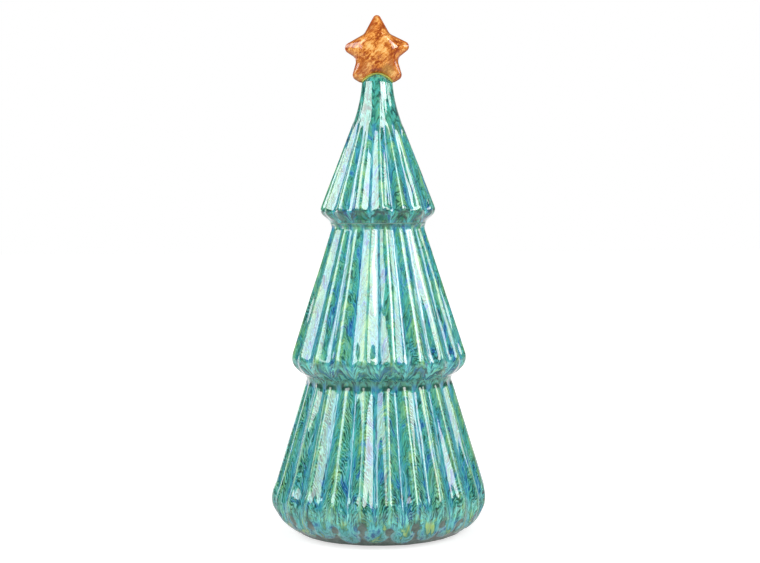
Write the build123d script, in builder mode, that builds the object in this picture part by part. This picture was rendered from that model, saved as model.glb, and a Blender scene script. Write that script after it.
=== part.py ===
from build123d import *
from dataclasses import dataclass
from math import atan2, cos, radians, sin, tan
import os

# A ceramic christmas tree: three hollow fluted tiers stacked on each other, with a star on the tip.
# Millimetres, +Z up. The origin is on the table under the axis, and the front faces -Y.

# Stoneware and the slip that joins it
WALL = 4.5  # least wall behind a groove
SLIP = 0.5  # fired slip in every joint
JOINT_WALL = 5.0  # wall around a tier's lower mouth
SPIGOT_WALL = 4.0
SPIGOT_HEIGHT = 5.0
SPIGOT_GAP = 1.0  # free height above a spigot
COLLAR = 2.0  # plain band between the flutes and the tier above
COVE = 0.3  # how far that band is hollowed
RUN_OUT = 6.0  # length over which a groove rises to the plain band
RUN_OUT_SINK = 0.5  # how far the band then goes on under the groove
EASE = 0.2  # how far a turned outline stands off the ridges
OVERRUN = 1.0  # how far the flutes run on past what trims them

# Base
FELT = 3.0  # thickness of the felt disc
FELT_PROUD = 0.8  # how far the felt lifts the foot off the table
BASE_THICKNESS = 5.0
FOOT_RING = 6.5  # width of the foot, before its outer edge is rounded
FOOT_FLAT = 2.4  # how much of that width stays flat
LEDGE = 5.0  # how far the base disc reaches under the wall
VENT_RADIUS = 5.0
FELT_MARGIN = 1.5  # how far the felt stays inside the foot ring


@dataclass(frozen=True)
class Tier:
    """One fluted casting: a cone with ridges and grooves, undercut below its rim."""

    flutes: int
    first_ridge: float  # its angle in degrees, to the right of the front
    lower_edge: float  # height of its lower edge
    lower_radius: float  # outer radius of its lower edge
    undercut: float  # height from the lower edge up to the rim
    rim_radius: float  # over the ridges, before the rim is rounded
    rim_round: float
    rim_depth: float  # depth of the grooves at the rim
    cone: float  # height from the rim up to the neck
    neck_radius: float  # over the ridges
    neck_depth: float

    @property
    def rim(self):
        return self.lower_edge + self.undercut

    @property
    def neck(self):
        return self.rim + self.cone

    @property
    def under_angle(self):
        return atan2(self.undercut, self.rim_radius - self.lower_radius)

    @property
    def rim_middle(self):
        side_angle = atan2(self.cone, self.neck_radius - self.rim_radius)
        tangent = self.rim_round * tan((side_angle - self.under_angle) / 2)
        return self.rim - tangent * sin(self.under_angle) + self.rim_round * cos(self.under_angle)

    @property
    def shoulder(self):
        return self.neck + COLLAR

    @property
    def socket_radius(self):
        return self.lower_radius - JOINT_WALL

    @property
    def socket_top(self):
        return self.lower_edge - SLIP + SPIGOT_HEIGHT + SPIGOT_GAP

    @property
    def spigot_top(self):
        return self.shoulder + SPIGOT_HEIGHT

    def spigot_radius(self, upper):
        return upper.socket_radius - SLIP

    def spigot_bore(self, upper):
        return self.spigot_radius(upper) - SPIGOT_WALL

    def ridge_radius(self, height):
        share = (height - self.rim) / self.cone
        return self.rim_radius + share * (self.neck_radius - self.rim_radius)

    def depth(self, height):
        share = (height - self.rim) / self.cone
        return self.rim_depth + share * (self.neck_depth - self.rim_depth)

    def groove_radius(self, height):
        return self.ridge_radius(height) - self.depth(height)


BOTTOM = Tier(
    flutes=24,
    first_ridge=4.8,
    lower_edge=FELT_PROUD,
    lower_radius=48.5,
    undercut=15.8,
    rim_radius=68.8,
    rim_round=21.0,
    rim_depth=3.6,
    cone=78.0,
    neck_radius=44.3,
    neck_depth=1.4,
)
MIDDLE = Tier(
    flutes=20,
    first_ridge=9.3,
    lower_edge=BOTTOM.shoulder + SLIP,
    lower_radius=44.2,
    undercut=9.5,
    rim_radius=55.3,
    rim_round=9.0,
    rim_depth=3.4,
    cone=82.5,
    neck_radius=28.4,
    neck_depth=1.2,
)
TOP = Tier(
    flutes=16,
    first_ridge=3.3,
    lower_edge=MIDDLE.shoulder + SLIP,
    lower_radius=29.2,
    undercut=6.6,
    rim_radius=36.3,
    rim_round=5.0,
    rim_depth=2.8,
    cone=55.0,
    neck_radius=14.9,
    neck_depth=1.05,
)

# Tip of the top tier, where the cone sweeps up into a plain round neck under the star
SWEEP = 24.0  # height from the end of the flutes to the cap
SWEEP_RUN_OUT = 10.0  # length over which a groove rises to the plain neck
TIP_RADIUS = 9.4
CAP = 6.0  # height of the round cap

# Star. Its corners, before rounding, are a reach from its middle and an angle in degrees from its top point.
STAR_RISE = 15.0  # from the top of the cap up to the star's middle
STAR_THICKNESS = 13.0
STAR_TOP_REACH = 23.0
STAR_UPPER_NOTCH_REACH = 11.9
STAR_UPPER_NOTCH_ANGLE = 41
STAR_SIDE_REACH = 22.5
STAR_SIDE_ANGLE = 85.5
STAR_LOWER_NOTCH_REACH = 13.9
STAR_LOWER_NOTCH_ANGLE = 117
STAR_FOOT_REACH = 23.6
STAR_FOOT_ANGLE = 138.5
STAR_HEEL_REACH = 23.4
STAR_HEEL_ANGLE = 155.5
STAR_FORK_SINK = 1.0  # how far the fork reaches below the top of the cap
STAR_EDGE = 2.9  # rounding of its front and back edges
STAR_POINT_EASE = 0.4  # how much rounder the points are than the edges
STAR_NOTCH_ROUND = 4.5
PEG_RADIUS = 3.0
PEG_DEPTH = 8.0  # how far the peg goes down into the tip
PEG_GAP = 1.0  # free depth below the peg

STANDING = (Align.CENTER, Align.CENTER, Align.MIN)

# Heights and radii that follow
base_lower = FELT
base_upper = base_lower + BASE_THICKNESS
rebate_radius = BOTTOM.lower_radius - FOOT_RING
base_radius = rebate_radius - SLIP
foot_round = (FOOT_RING - FOOT_FLAT) / tan(BOTTOM.under_angle / 2)
sweep_radius = TOP.neck_radius + EASE
sweep_slope = (TOP.neck_radius - TOP.rim_radius) / TOP.cone
sweep_foot = TOP.neck - SWEEP_RUN_OUT
tip = TOP.neck + SWEEP
tip_top = tip + CAP
star_middle = tip_top + STAR_RISE
peg_hole_radius = PEG_RADIUS + SLIP
peg_end = tip_top - PEG_DEPTH
peg_hole_floor = peg_end - PEG_GAP


def dome_radius(half_width, rise):
    """Radius of the arc over a round cap."""
    return (half_width**2 + rise**2) / (2 * rise)


def around(radius, angle):
    """A point on a circle, with its angle to the right of the front."""
    return (radius * sin(radians(angle)), -radius * cos(radians(angle)))


def draw_flutes(tier, height):
    """One ring of ridges and grooves, as arcs that meet half way down each flank."""
    pitch = 360 / tier.flutes
    ridge_radius = tier.ridge_radius(height)
    groove_radius = tier.groove_radius(height)
    flank_radius = (ridge_radius + groove_radius) / 2
    for flute in range(tier.flutes):
        ridge = tier.first_ridge + flute * pitch
        left_flank = around(flank_radius, ridge - pitch / 4)
        right_flank = around(flank_radius, ridge + pitch / 4)
        next_flank = around(flank_radius, ridge + pitch * 3 / 4)
        ThreePointArc(left_flank, around(ridge_radius, ridge), right_flank)
        ThreePointArc(right_flank, around(groove_radius, ridge + pitch / 2), next_flank)


def fluted_blank(tier):
    """The solid fluted cone of a tier, trimmed by its undercut and its rounded rim."""
    lowest = tier.lower_edge - OVERRUN
    highest = tier.neck + OVERRUN
    with BuildPart() as blank:
        for height in (lowest, highest):
            with BuildSketch(Plane.XY.offset(height)):
                with BuildLine():
                    draw_flutes(tier, height)
                make_face()
        loft(ruled=True)
        with BuildSketch(Plane.XZ) as trim:
            with BuildLine():
                Polyline(
                    (0, tier.lower_edge),
                    (tier.lower_radius, tier.lower_edge),
                    (tier.rim_radius + EASE, tier.rim),
                    (tier.ridge_radius(highest) + EASE, highest),
                    (0, highest),
                    close=True,
                )
            make_face()
            fillet(trim.vertices().sort_by(Axis.X)[-1], radius=tier.rim_round)
        revolve(axis=Axis.Z, mode=Mode.INTERSECT)
    return blank.part


def draw_collar_and_spigot(tier, upper):
    """Half outline of the plain band above a tier's flutes, and of the spigot inside the tier above."""
    band_radius = tier.neck_radius + EASE
    foot = tier.neck - RUN_OUT
    spigot_radius = tier.spigot_radius(upper)
    Polyline((0, foot), (tier.groove_radius(foot) - RUN_OUT_SINK, foot), (band_radius, tier.neck))
    SagittaArc((band_radius, tier.neck), (upper.lower_radius, tier.shoulder), COVE)
    Polyline(
        (upper.lower_radius, tier.shoulder),
        (spigot_radius, tier.shoulder),
        (spigot_radius, tier.spigot_top),
        (0, tier.spigot_top),
        (0, foot),
    )


def draw_bed():
    """Half outline of the tip with the star's bed of slip on it, carried down past the star's feet."""
    side = TIP_RADIUS + SLIP
    foot = tip - STAR_RISE
    Polyline((0, tip_top + SLIP), (0, foot), (side, foot), (side, tip))
    RadiusArc((side, tip), (0, tip_top + SLIP), -dome_radius(side, CAP + SLIP))


def slip_ring(lower, upper):
    """The fired slip between a tier's shoulder and spigot and the mouth of the tier above."""
    spigot_radius = lower.spigot_radius(upper)
    with BuildPart() as ring:
        with BuildSketch(Plane.XZ):
            with BuildLine():
                Polyline(
                    (spigot_radius, lower.shoulder),
                    (upper.lower_radius, lower.shoulder),
                    (upper.lower_radius, upper.lower_edge),
                    (upper.socket_radius, upper.lower_edge),
                    (upper.socket_radius, lower.spigot_top),
                    (spigot_radius, lower.spigot_top),
                    close=True,
                )
            make_face()
        revolve(axis=Axis.Z)
    return ring.part


bottom_blank = fluted_blank(BOTTOM)
middle_blank = fluted_blank(MIDDLE)
top_blank = fluted_blank(TOP)

# Bottom tier: the widest casting, with a rebate in its foot for the base disc
with BuildPart() as bottom_tier:
    add(bottom_blank)
    with BuildSketch(Plane.XZ):
        with BuildLine():
            draw_collar_and_spigot(BOTTOM, MIDDLE)
        make_face()
    revolve(axis=Axis.Z)
    with BuildSketch(Plane.XZ):
        with BuildLine():
            Polyline(
                (0, BOTTOM.lower_edge),
                (rebate_radius, BOTTOM.lower_edge),
                (rebate_radius, base_upper),
                (base_radius - LEDGE, base_upper),
                (BOTTOM.groove_radius(BOTTOM.rim_middle) - WALL, BOTTOM.rim_middle),
                (BOTTOM.spigot_bore(MIDDLE), BOTTOM.neck),
                (BOTTOM.spigot_bore(MIDDLE), BOTTOM.spigot_top),
                (0, BOTTOM.spigot_top),
                close=True,
            )
        make_face()
    revolve(axis=Axis.Z, mode=Mode.SUBTRACT)
    foot_edges = bottom_tier.edges().filter_by(GeomType.CIRCLE).group_by(Axis.Z)[0]
    fillet(foot_edges.sort_by(SortBy.RADIUS)[-1], radius=foot_round)

# Middle tier: seated on the bottom tier's spigot
with BuildPart() as middle_tier:
    add(middle_blank)
    with BuildSketch(Plane.XZ):
        with BuildLine():
            draw_collar_and_spigot(MIDDLE, TOP)
        make_face()
    revolve(axis=Axis.Z)
    with BuildSketch(Plane.XZ):
        with BuildLine():
            Polyline(
                (0, MIDDLE.lower_edge),
                (MIDDLE.socket_radius, MIDDLE.lower_edge),
                (MIDDLE.socket_radius, MIDDLE.socket_top),
                (MIDDLE.groove_radius(MIDDLE.rim_middle) - WALL, MIDDLE.rim_middle),
                (MIDDLE.spigot_bore(TOP), MIDDLE.neck),
                (MIDDLE.spigot_bore(TOP), MIDDLE.spigot_top),
                (0, MIDDLE.spigot_top),
                close=True,
            )
        make_face()
    revolve(axis=Axis.Z, mode=Mode.SUBTRACT)

# Top tier: closed at the top by a round neck and cap, with a hole for the star's peg
with BuildPart() as top_tier:
    add(top_blank)
    with BuildSketch(Plane.XZ):
        with BuildLine():
            Polyline(
                (0, tip_top),
                (0, sweep_foot),
                (TOP.groove_radius(sweep_foot) - RUN_OUT_SINK, sweep_foot),
                (sweep_radius, TOP.neck),
            )
            TangentArc((sweep_radius, TOP.neck), (TIP_RADIUS, tip), tangent=(sweep_slope, 1))
            RadiusArc((TIP_RADIUS, tip), (0, tip_top), -dome_radius(TIP_RADIUS, CAP))
        make_face()
    revolve(axis=Axis.Z)
    with BuildSketch(Plane.XZ):
        with BuildLine():
            Polyline(
                (0, TOP.lower_edge),
                (TOP.socket_radius, TOP.lower_edge),
                (TOP.socket_radius, TOP.socket_top),
                (TOP.groove_radius(TOP.rim_middle) - WALL, TOP.rim_middle),
                (PEG_RADIUS, peg_hole_floor - WALL),
                (0, peg_hole_floor - WALL),
                close=True,
            )
        make_face()
    revolve(axis=Axis.Z, mode=Mode.SUBTRACT)
    with BuildSketch(Plane.XY.offset(peg_hole_floor)):
        Circle(peg_hole_radius)
    extrude(until=Until.LAST, mode=Mode.SUBTRACT)

# Star before its fork is fitted to the tip
half_corners = (
    (STAR_TOP_REACH, 0),
    (STAR_UPPER_NOTCH_REACH, STAR_UPPER_NOTCH_ANGLE),
    (STAR_SIDE_REACH, STAR_SIDE_ANGLE),
    (STAR_LOWER_NOTCH_REACH, STAR_LOWER_NOTCH_ANGLE),
    (STAR_FOOT_REACH, STAR_FOOT_ANGLE),
    (STAR_HEEL_REACH, STAR_HEEL_ANGLE),
    (STAR_RISE + STAR_FORK_SINK, 180),
)
point = STAR_EDGE + STAR_POINT_EASE
half_rounds = [point, STAR_NOTCH_ROUND, point, STAR_NOTCH_ROUND, point, point, STAR_NOTCH_ROUND]
right_half = [(reach * sin(radians(angle)), reach * cos(radians(angle))) for reach, angle in half_corners]
left_half = [(-x, y) for x, y in reversed(right_half[1:-1])]
star_outline = right_half + left_half
corner_rounds = half_rounds + half_rounds[-2:0:-1]
with BuildPart() as star_blank:
    with BuildSketch(Plane(origin=(0, 0, star_middle), x_dir=(1, 0, 0), z_dir=(0, -1, 0))):
        with BuildLine():
            FilletPolyline(*star_outline, radius=corner_rounds, close=True)
        make_face()
    extrude(amount=STAR_THICKNESS / 2, both=True)
    fillet(star_blank.faces().filter_by(Axis.Y).edges(), radius=STAR_EDGE)

# Star topper: its fork sits astride the cap, and its peg goes down into the tip
with BuildPart() as star_topper:
    add(star_blank.part)
    with BuildSketch(Plane.XZ):
        with BuildLine():
            draw_bed()
        make_face()
    revolve(axis=Axis.Z, mode=Mode.SUBTRACT)
    with Locations((0, 0, peg_end)):
        Cylinder(PEG_RADIUS, star_middle - peg_end, align=STANDING)

# Slip under the star: a bed on the cap, and a sleeve around the peg
with BuildPart() as star_slip:
    add(star_blank.part)
    with BuildSketch(Plane.XZ):
        with BuildLine():
            draw_bed()
        make_face()
    revolve(axis=Axis.Z, mode=Mode.INTERSECT)
    with Locations((0, 0, peg_end)):
        Cylinder(peg_hole_radius, tip_top - SLIP - peg_end, align=STANDING)
        Cylinder(PEG_RADIUS, star_middle - peg_end, align=STANDING, mode=Mode.SUBTRACT)
    add(top_tier.part, mode=Mode.SUBTRACT)

# Slip in the two joints between the tiers
lower_slip = slip_ring(BOTTOM, MIDDLE)
upper_slip = slip_ring(MIDDLE, TOP)

# Base disc: a slab with a vent hole, let into the foot
with BuildPart() as base_disc:
    with BuildSketch(Plane.XY.offset(base_lower)):
        Circle(base_radius)
        Circle(VENT_RADIUS, mode=Mode.SUBTRACT)
    extrude(amount=BASE_THICKNESS)

# Slip around the base disc
with BuildPart() as base_slip:
    with BuildSketch(Plane.XY.offset(base_lower)):
        Circle(rebate_radius)
        Circle(base_radius, mode=Mode.SUBTRACT)
    extrude(amount=BASE_THICKNESS)

# Felt disc glued under the base disc
with BuildPart() as felt_base:
    with BuildSketch(Plane.XY):
        Circle(rebate_radius - FELT_MARGIN)
    extrude(amount=FELT)

pieces = {
    "bottom_tier": bottom_tier.part,
    "middle_tier": middle_tier.part,
    "top_tier": top_tier.part,
    "lower_slip": lower_slip,
    "upper_slip": upper_slip,
    "star_topper": star_topper.part,
    "star_slip": star_slip.part,
    "base_disc": base_disc.part,
    "base_slip": base_slip.part,
    "felt_base": felt_base.part,
}
os.makedirs("parts", exist_ok=True)
for name, piece in pieces.items():
    piece.label = name
    export_step(piece, f"parts/{name}.step")
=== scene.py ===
import math
from dataclasses import dataclass

import bpy
import numpy as np
from mathutils import Euler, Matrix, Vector


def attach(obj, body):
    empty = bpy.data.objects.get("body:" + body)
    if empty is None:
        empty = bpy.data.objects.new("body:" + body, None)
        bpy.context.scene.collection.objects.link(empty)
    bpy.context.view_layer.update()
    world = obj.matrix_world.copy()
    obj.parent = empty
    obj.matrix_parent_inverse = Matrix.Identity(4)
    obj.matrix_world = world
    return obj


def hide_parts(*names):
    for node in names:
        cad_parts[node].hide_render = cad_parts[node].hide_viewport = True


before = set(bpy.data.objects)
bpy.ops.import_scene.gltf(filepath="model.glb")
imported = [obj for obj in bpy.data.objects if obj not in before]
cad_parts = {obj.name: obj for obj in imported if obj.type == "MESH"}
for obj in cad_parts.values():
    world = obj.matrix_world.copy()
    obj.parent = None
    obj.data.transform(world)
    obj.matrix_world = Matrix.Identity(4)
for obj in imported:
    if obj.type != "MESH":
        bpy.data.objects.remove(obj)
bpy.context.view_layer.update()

# A ceramic christmas tree in reactive glaze. Sizes are in millimetres until a mesh is made.
MM = 0.001
SLIP = 0.5
COLLAR = 2.0
JOINT_WALL = 5.0
SPIGOT_WALL = 4.0
SPIGOT_HEIGHT = 5.0
SOCKET_HEIGHT = 5.5


@dataclass
class Tier:
    """One fluted cone: ridges and grooves from a rounded rim up to a neck, undercut below the rim."""

    flutes: int
    first_ridge: float  # degrees to the right of the front
    lower_edge: float
    lower_radius: float
    undercut: float
    rim_radius: float
    rim_round: float
    rim_depth: float  # of the grooves above the rim
    rim_hold: float  # where above the rim they are that deep, as a share of rim_round
    under_depth: float  # of the grooves below the rim
    cone: float
    neck_depth: float  # of the grooves at the neck
    run_out: float  # the height in which the grooves end
    run_up: float  # how far above the neck they are gone
    seed: int

    @property
    def rim(self):
        return self.lower_edge + self.undercut

    @property
    def neck(self):
        return self.rim + self.cone

    @property
    def shoulder(self):
        return self.neck + COLLAR

    def depth(self, height):
        share = np.clip((height - self.rim) / self.cone, 0, 1)
        return self.rim_depth + share * (self.neck_depth - self.rim_depth)


bottom = Tier(
    flutes=24, first_ridge=4.8, lower_edge=0.8, lower_radius=50.4, undercut=15.8,
    rim_radius=68.8, rim_round=21.0, rim_depth=3.6, rim_hold=0.25, under_depth=0.6,
    cone=78.0, neck_depth=1.4, run_out=6.0, run_up=2.6, seed=3,
)
middle = Tier(
    flutes=20, first_ridge=9.3, lower_edge=97.1, lower_radius=44.2, undercut=9.5,
    rim_radius=55.3, rim_round=9.0, rim_depth=3.4, rim_hold=0.75, under_depth=1.5,
    cone=82.5, neck_depth=1.3, run_out=2.4, run_up=1.9, seed=5,
)
top = Tier(
    flutes=16, first_ridge=3.3, lower_edge=191.6, lower_radius=29.2, undercut=6.6,
    rim_radius=36.3, rim_round=5.0, rim_depth=2.8, rim_hold=0.75, under_depth=1.4,
    cone=55.0, neck_depth=1.05, run_out=12.0, run_up=2.0, seed=8,
)

# Corners of the outlines and of the hollows, as radius and height
MIDDLE_BELLY = (49.0, 100.0)
MIDDLE_CONE_END = (28.6, 188.5)
TOP_LIP = (29.95, 192.9)
BOTTOM_HOLLOW = (58.5, 24.3)
MIDDLE_HOLLOW = (44.5, 111.0)
TOP_HOLLOW = (28.0, 202.0)
TOP_HOLLOW_END = (3.0, 269.7)
PEG_HOLE_RADIUS = 3.5
PEG_HOLE_END = 274.2
FOOT_ROUND = 4.0
SEAM_RADIUS = 29.4
REBATE_RADIUS = 42.0
BASE_LEDGE_RADIUS = 36.5
BASE_UPPER = 8.0

# The neck of the top tier, its domed cap and the star on it
NECK_RADIUS = 14.9
TIP_RADIUS = 9.4
TIP = 277.2
TIP_TOP = 283.2
CAP_SPHERE = (TIP_RADIUS**2 + (TIP_TOP - TIP) ** 2) / (2 * (TIP_TOP - TIP))
STAR_MIDDLE = 298.2
STAR_BED = 0.12

FELT_RADIUS = 40.5
FELT_THICKNESS = 3.0

# Unevenness of the hand finish: turns around the tree, length along it and amount
RIB_SWAY = [(5, 1, 0.25), (9, 1, 0.22), (13, 1, 0.2)]
DEPTH_SWAY = [(3, 90, 0.06), (7, 140, 0.06), (11, 200, 0.05)]
SKIN_SWAY = [
    (6, 61, 0.05), (14, 77, 0.035), (23, 46, 0.02), (37, 29, 0.010), (52, 53, 0.010), (71, 24, 0.006)
]
DRIP_SWAY = [(24, 1, 0.6), (17, 1, 0.8), (41, 1, 0.6)]
FELT_SWAY = [(3, 1, 0.18), (8, 1, 0.12), (19, 1, 0.06), (47, 1, 0.05)]

# Spacing of the tier meshes: columns to a flute, and steps along the outline
COLUMNS = 28
FINE_STEP, CONE_STEP, NECK_STEP = 0.62, 1.7, 0.8


def ease(value, low, high):
    """A smooth step from 0 at low to 1 at high."""
    share = np.clip((value - low) / (high - low), 0, 1)
    return share * share * (3 - 2 * share)


def rounded(corners, radii, step=0.1):
    """Points along a line through the corners, each rounded to its radius."""
    corners = [np.array(c, float) for c in corners]
    path = [corners[0]]
    for before, corner, after, radius in zip(corners, corners[1:], corners[2:], radii):
        towards = (before - corner) / np.linalg.norm(before - corner)
        away = (after - corner) / np.linalg.norm(after - corner)
        half = math.acos(np.clip(towards @ away, -1, 1)) / 2
        reach = radius / math.tan(half)
        middle_line = (towards + away) / np.linalg.norm(towards + away)
        centre = corner + middle_line * radius / math.sin(half)
        start = corner + towards * reach - centre
        turn = math.pi - 2 * half
        if start[1] * towards[0] - start[0] * towards[1] < 0:
            turn = -turn
        for share in np.linspace(0, 1, max(4, int(abs(turn) * radius / step))):
            c, s = math.cos(turn * share), math.sin(turn * share)
            path.append(centre + np.array([c * start[0] - s * start[1], s * start[0] + c * start[1]]))
    path.append(corners[-1])
    return np.array(path)


def run_length(path):
    """Distance along a line of points."""
    return np.concatenate([[0], np.cumsum(np.linalg.norm(np.diff(path, axis=0), axis=1))])


def spaced(path, stations):
    """Points of a line at the given distances along it."""
    along = run_length(path)
    return np.stack([np.interp(stations, along, path[:, i]) for i in range(2)], axis=1)


def softened(path, width, step=0.1):
    """The same line, evenly spaced, with its corners eased over the given width."""
    along = run_length(path)
    even = spaced(path, np.arange(0, along[-1], step))
    reach = int(width / step)
    kernel = np.hanning(2 * reach + 1)
    kernel /= kernel.sum()
    padded = np.concatenate([
        2 * even[0] - even[reach:0:-1],
        even,
        2 * even[-1] - even[-2:-reach - 2:-1],
    ])
    return np.stack([np.convolve(padded[:, i], kernel, "valid") for i in range(2)], axis=1)


def outward(path):
    """Outward directions of a line that runs up the outside of a turned form."""
    tangent = np.gradient(path, axis=0)
    tangent /= np.linalg.norm(tangent, axis=1)[:, None]
    return np.stack([tangent[:, 1], -tangent[:, 0]], axis=1)


def flute_wave(phase, crispness):
    """1 on a ridge and 0 in a groove, with flat flanks between them."""
    return 0.5 + np.arcsin(crispness * np.cos(math.pi * phase)) / (2 * np.arcsin(crispness))


def hand_wobble(angle, along, sways, seed):
    """Slow unevenness of a hand-finished form, the same after a full turn."""
    rng = np.random.default_rng(seed)
    total = np.zeros(np.broadcast(angle, along).shape)
    for turns, length, amount in sways:
        sign = rng.choice([-1, 1])
        shift = rng.uniform(0, 2 * math.pi)
        total = total + amount * np.sin(turns * angle + sign * 2 * math.pi * along / length + shift)
    return total


def melted(first, second, width):
    """The lesser of two distances, with the corner where they meet rounded."""
    blend = np.clip(0.5 + 0.5 * (first - second) / width, 0, 1)
    return first * (1 - blend) + second * blend - width * blend * (1 - blend)


def surface(name, points, faces, smooth_angle=50):
    """A smooth mesh object from points in millimetres."""
    mesh = bpy.data.meshes.new(name)
    mesh.from_pydata((points * MM).tolist(), [], faces)
    mesh.polygons.foreach_set("use_smooth", np.ones(len(mesh.polygons), bool))
    mesh.set_sharp_from_angle(angle=math.radians(smooth_angle))
    mesh.validate()
    made = bpy.data.objects.new(name, mesh)
    bpy.context.scene.collection.objects.link(made)
    return made


def store(piece, name, values, domain="POINT"):
    """Keeps a number or a triple on each point or face corner for the materials."""
    values = np.asarray(values, np.float32)
    kind = "FLOAT" if values.ndim == 1 else "FLOAT_VECTOR"
    field = "value" if values.ndim == 1 else "vector"
    layer = piece.data.attributes.new(name, kind, domain)
    layer.data.foreach_set(field, values.ravel())


def ring_faces(rows, columns):
    """Quads of a grid that closes on itself both ways."""
    row, column = np.meshgrid(np.arange(rows), np.arange(columns), indexing="ij")
    row, column = row.ravel(), column.ravel()
    next_row, next_column = (row + 1) % rows, (column + 1) % columns
    return np.stack([
        row * columns + column,
        row * columns + next_column,
        next_row * columns + next_column,
        next_row * columns + column,
    ], axis=1)


def drip_edge(tier, angle, along):
    """How far inside the glaze a point near the foot is: the glaze ends in a lobe below each groove."""
    rng = np.random.default_rng(41)
    pitch = 2 * math.pi / tier.flutes
    first_groove = math.radians(tier.first_ridge) + pitch / 2
    foot_radius, mean_edge, lean_from, melt = 56.0, 23.8, 15, 1.4

    def across_from(middle_angle):
        """Distance around the foot from an angle."""
        return ((angle - middle_angle + math.pi) % (2 * math.pi) - math.pi) * foot_radius

    bare = mean_edge + hand_wobble(angle, along * 0, DRIP_SWAY, 6) - along
    for groove in range(tier.flutes):
        middle_angle = first_groove + groove * pitch + math.radians(rng.uniform(-0.9, 0.9))
        bead = rng.uniform(6.1, 6.9)
        tip = rng.uniform(10.1, 13.4)
        lean = rng.uniform(-0.14, 0.14)
        across = across_from(middle_angle) + lean * (along - lean_from)
        lobe = np.where(along > tip + bead, np.abs(across), np.hypot(across, along - tip - bead)) - bead
        bare = melted(bare, lobe, melt)

    # Between two lobes the glaze parts into a small window over the rib
    for rib in range(tier.flutes):
        middle_angle = first_groove + (rib + 0.5) * pitch + math.radians(rng.uniform(-1.2, 1.2))
        wide, tall = rng.uniform(1.4, 2.6), rng.uniform(2.6, 4.8)
        middle_height = rng.uniform(23.8, 26.3)
        across = across_from(middle_angle)
        window = wide * (1 - np.hypot(across / wide, (along - middle_height) / tall))
        bare = -melted(-bare, -window, melt)
    return -bare


def glaze_roll(inside_glaze, along):
    """How far the glaze stands out near the foot, with a rolled edge."""
    roll = np.sqrt(1 - (1 - np.clip(inside_glaze / 1.5, 0, 1)) ** 2)
    bulge = ease(inside_glaze, 0.4, 4.5) * (1 - ease(along, 18, 34))
    return (0.95 * roll - 0.6 + 0.40 * bulge) * (1 - ease(along, 22, 40))


def store_flute(piece, tier, faces, rise, radii):
    """Keeps on each corner what the glaze follows: across the flute, along it, and a number for each rib."""
    half_width = math.pi / tier.flutes * radii
    rib_number = np.random.default_rng(tier.seed + 9).uniform(0, 1, tier.flutes)
    corner_row, corner_column = np.divmod(faces, tier.flutes * COLUMNS)
    first_column = corner_column[:, :1]
    step_over = (corner_column != first_column).astype(float)
    across = ((first_column % COLUMNS + step_over) / COLUMNS * 2 - 1) * half_width[corner_row]
    rib = np.repeat(rib_number[first_column // COLUMNS], 4, axis=1)
    store(piece, "flute", np.stack([across, rise[corner_row], rib], axis=2).reshape(-1, 3), "CORNER")


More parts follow.
